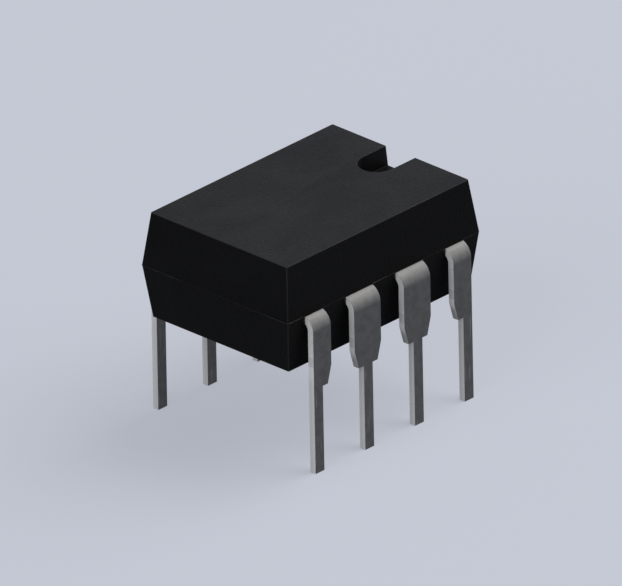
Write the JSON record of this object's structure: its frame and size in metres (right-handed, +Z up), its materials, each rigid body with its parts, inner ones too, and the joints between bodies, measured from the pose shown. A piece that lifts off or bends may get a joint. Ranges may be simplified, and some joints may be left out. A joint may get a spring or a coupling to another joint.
{
  "type": "dual in-line chip",
  "caption": "Black moulded chip package with a notch at one end and two rows of bent tinned leads for through holes or a socket, with its die, paddle and bond wires inside.",
  "frame": {"origin": "centre of the plane of the lead tips, below the middle of the body", "axes": "+Z up from the lead tips to the top face, +Y along the rows towards the notch, +X across the rows from leads 1 to 4 towards leads 5 to 8"},
  "size_m": [0.0078, 0.0098, 0.0081],
  "materials": {
    "moulding_compound": "matt spark-eroded epoxy",
    "tinned_copper": "satin tin plate",
    "silver_epoxy": "silver-filled adhesive",
    "silicon": "polished silicon",
    "gold_wire": "drawn gold"
  },
  "bodies": {
    "root": {"moulded_body": "moulding_compound", "lead_1": "tinned_copper", "lead_2": "tinned_copper", "lead_3": "tinned_copper", "lead_4_and_paddle": "tinned_copper", "lead_5": "tinned_copper", "lead_6": "tinned_copper", "lead_7": "tinned_copper", "lead_8": "tinned_copper", "die_attach": "silver_epoxy", "die": "silicon", "bond_wire_1": "gold_wire", "bond_wire_2": "gold_wire", "bond_wire_3": "gold_wire", "bond_wire_4": "gold_wire", "bond_wire_5": "gold_wire", "bond_wire_6": "gold_wire", "bond_wire_7": "gold_wire", "bond_wire_8": "gold_wire"}
  },
  "joints": []
}
